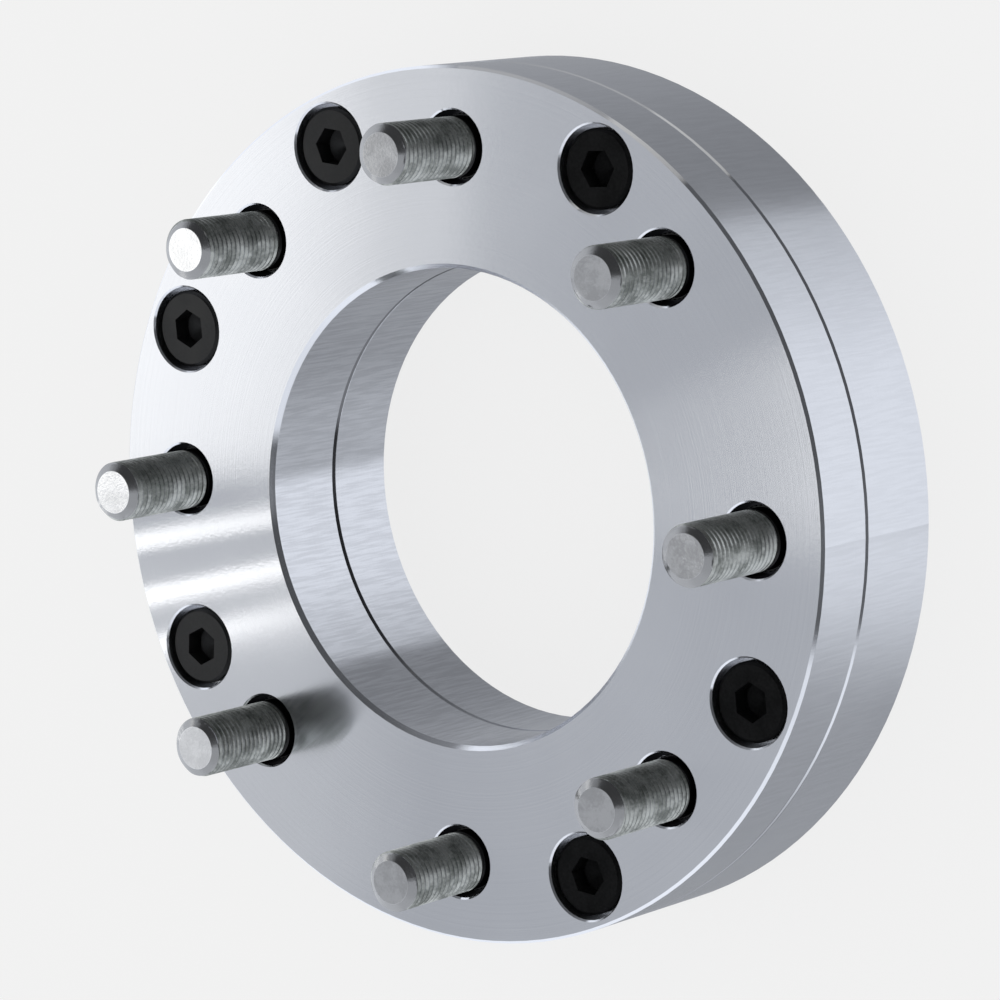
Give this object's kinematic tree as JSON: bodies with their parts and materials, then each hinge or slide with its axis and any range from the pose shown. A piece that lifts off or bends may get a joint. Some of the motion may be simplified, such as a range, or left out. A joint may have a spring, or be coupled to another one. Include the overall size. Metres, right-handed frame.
{
  "type": "wheel spacer",
  "caption": "Thick round aluminium wheel adapter of stacked discs screwed together, with a wide centre bore, wheel studs round one face and lug holes in the other.",
  "frame": {"origin": "centre of the hub face, on the axis of the bore, with the part lying on that face", "axes": "+Z along the axis from the hub face to the wheel, the way the wheel studs point; +X through wheel stud 1, and the other studs follow counter-clockwise"},
  "size_m": [0.202, 0.202, 0.0678],
  "materials": {
    "turned_aluminium": "turned, satin",
    "plated_steel": "dull zinc plating",
    "black_steel": "black oxide"
  },
  "bodies": {
    "root": {"front_plate": "turned_aluminium", "rear_plate": "turned_aluminium", "wheel_stud_1": "plated_steel", "wheel_stud_2": "plated_steel", "wheel_stud_3": "plated_steel", "wheel_stud_4": "plated_steel", "wheel_stud_5": "plated_steel", "wheel_stud_6": "plated_steel", "wheel_stud_7": "plated_steel", "wheel_stud_8": "plated_steel", "socket_screw_1": "black_steel", "socket_screw_2": "black_steel", "socket_screw_3": "black_steel", "socket_screw_4": "black_steel", "socket_screw_5": "black_steel", "socket_screw_6": "black_steel"}
  },
  "joints": []
}
